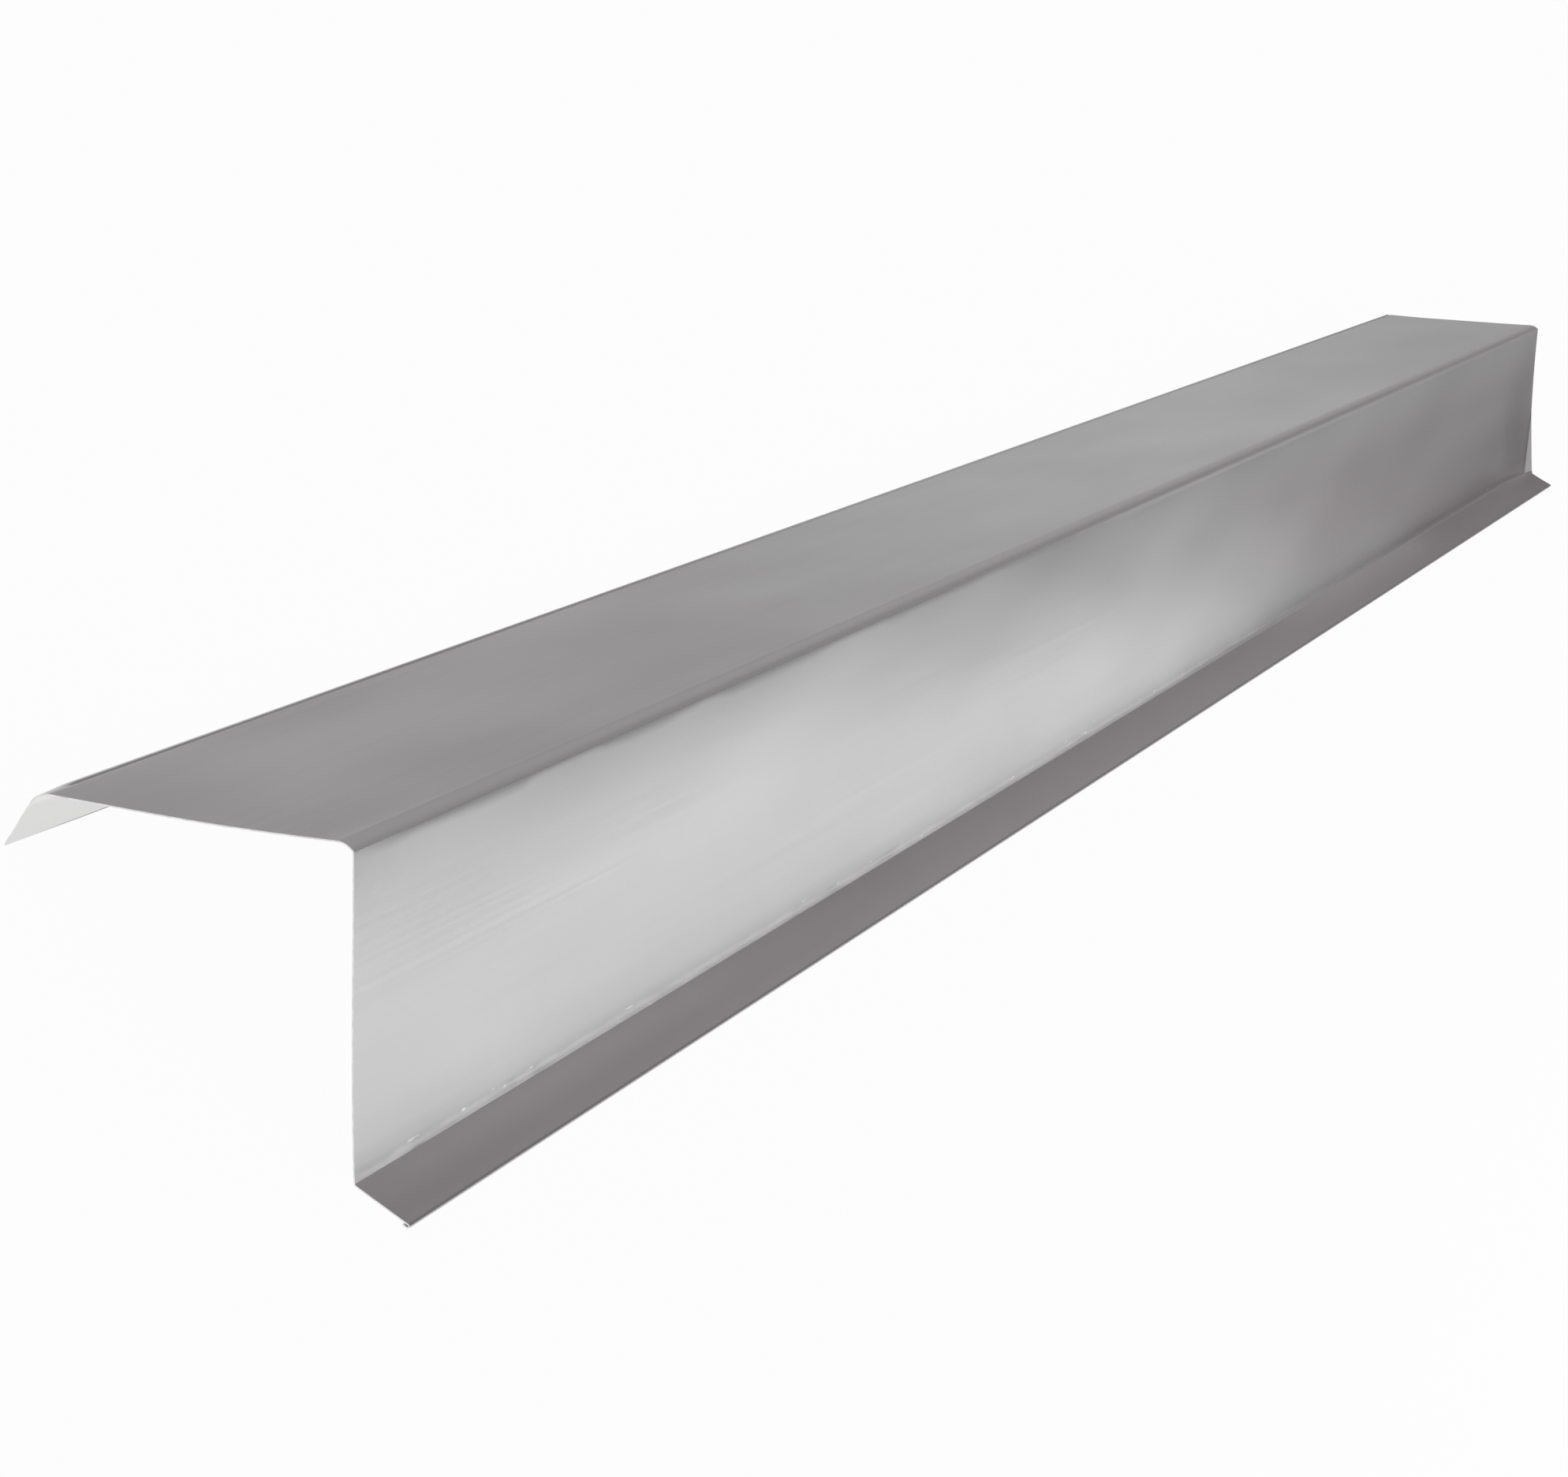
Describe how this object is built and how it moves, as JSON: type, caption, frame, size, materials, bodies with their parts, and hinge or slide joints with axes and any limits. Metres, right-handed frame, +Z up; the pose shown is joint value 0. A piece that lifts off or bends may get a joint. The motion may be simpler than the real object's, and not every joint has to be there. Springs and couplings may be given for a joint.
{
  "type": "eaves flashing",
  "caption": "Folded sheet-steel eaves flashing: a back lip, a wide roof flange, a square front face and a kicked-out hemmed drip edge that throws roof water clear of the fascia.",
  "frame": {"origin": "centre of the base of the bounding box, on the floor that the lower fold and the tip of the back lip rest on", "axes": "+X along the strip, with the picture's near end at -X; the front face looks towards -Y and up; +Z is up from the floor"},
  "size_m": [2, 0.2174, 0.1064],
  "materials": {
    "zinc_coated_sheet": "satin zinc coating without visible spangle"
  },
  "bodies": {
    "root": {"flashing_strip": "zinc_coated_sheet"}
  },
  "joints": []
}
